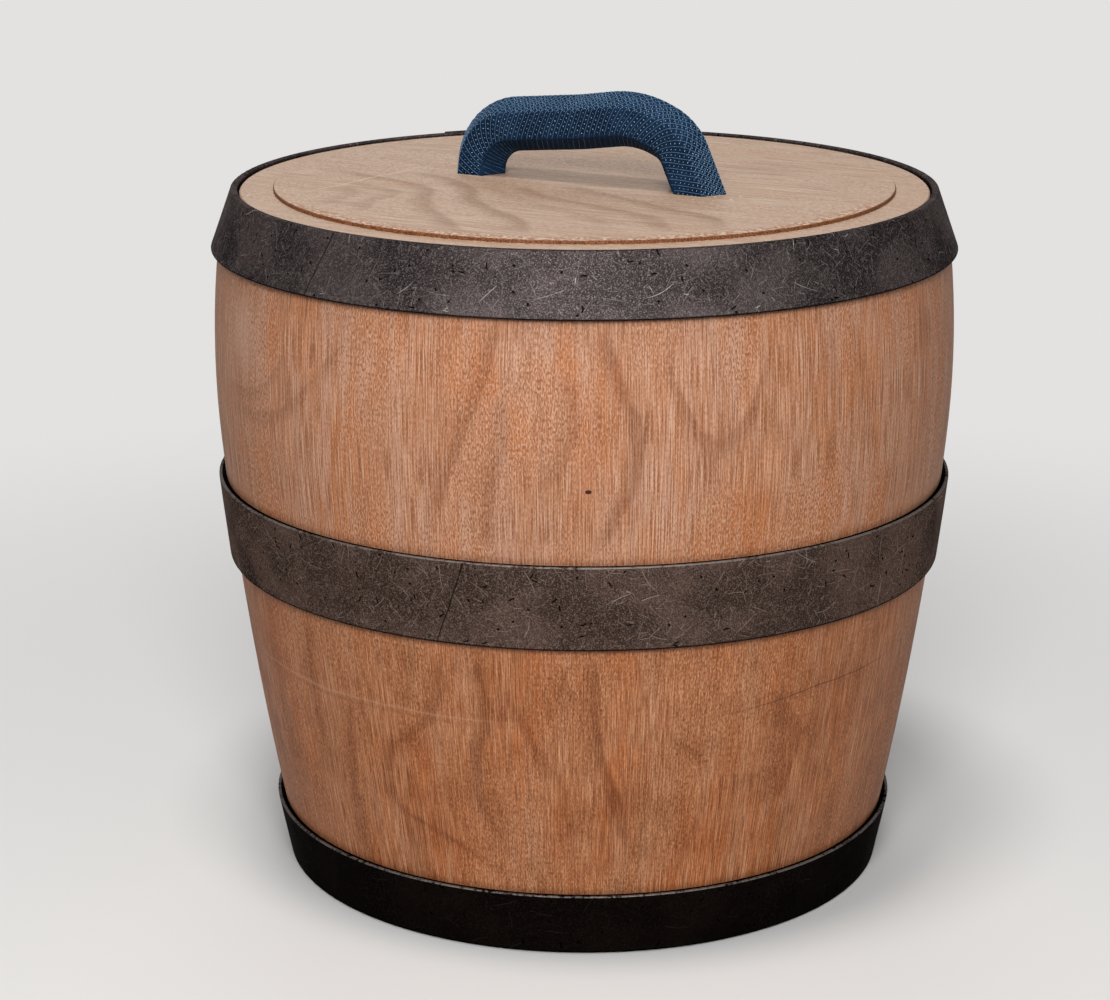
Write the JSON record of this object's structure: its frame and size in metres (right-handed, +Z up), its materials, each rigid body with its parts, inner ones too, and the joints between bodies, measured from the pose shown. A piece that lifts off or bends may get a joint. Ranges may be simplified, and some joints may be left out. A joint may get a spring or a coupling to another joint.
{
  "type": "wooden firkin",
  "caption": "Staved wooden firkin in dark iron hoops, with a lift-off boarded lid and a bow handle bound in dark blue woven cloth",
  "frame": {"origin": "centre of the foot on the floor, on the vessel's axis", "axes": "+Z up the vessel's axis; +X along the handle, towards the end of its bow with the higher hump"},
  "size_m": [0.383, 0.383, 0.4068],
  "materials": {
    "stave_wood": "planed, oiled, worn",
    "bottom_wood": "sawn, bare",
    "lid_wood": "planed, bare, worn",
    "batten_wood": "planed, bare",
    "dowel_wood": "turned, bare",
    "hoop_iron": "dark rolled strip, scratched",
    "rivet_iron": "hammered",
    "handle_wood": "shaped, bare",
    "handle_cloth": "woven, dark blue with pale threads",
    "screw_steel": "bare, dull"
  },
  "bodies": {
    "vessel": {"stave_01": "stave_wood", "stave_02": "stave_wood", "stave_03": "stave_wood", "stave_04": "stave_wood", "stave_05": "stave_wood", "stave_06": "stave_wood", "stave_07": "stave_wood", "stave_08": "stave_wood", "stave_09": "stave_wood", "stave_10": "stave_wood", "stave_11": "stave_wood", "stave_12": "stave_wood", "stave_13": "stave_wood", "stave_14": "stave_wood", "stave_15": "stave_wood", "stave_16": "stave_wood", "stave_17": "stave_wood", "stave_18": "stave_wood", "bottom_board_1": "bottom_wood", "bottom_board_2": "bottom_wood", "bottom_board_3": "bottom_wood", "bottom_board_4": "bottom_wood", "bottom_dowels": "dowel_wood", "top_hoop": "hoop_iron", "middle_hoop": "hoop_iron", "bottom_hoop": "hoop_iron", "top_hoop_rivets": "rivet_iron", "middle_hoop_rivets": "rivet_iron", "bottom_hoop_rivets": "rivet_iron"},
    "lid": {"lid_board_1": "lid_wood", "lid_board_2": "lid_wood", "lid_board_3": "lid_wood", "lid_dowels": "dowel_wood", "lid_batten_1": "batten_wood", "lid_batten_2": "batten_wood", "batten_screws": "screw_steel", "handle_core": "handle_wood", "handle_wrap": "handle_cloth", "handle_screws": "screw_steel", "handle_washers": "screw_steel"}
  },
  "joints": [
    {"name": "lid_lift", "type": "slide", "parent": "vessel", "child": "lid", "axis": [0, 0, 1], "range_m": [0, 0.15]}
  ]
}
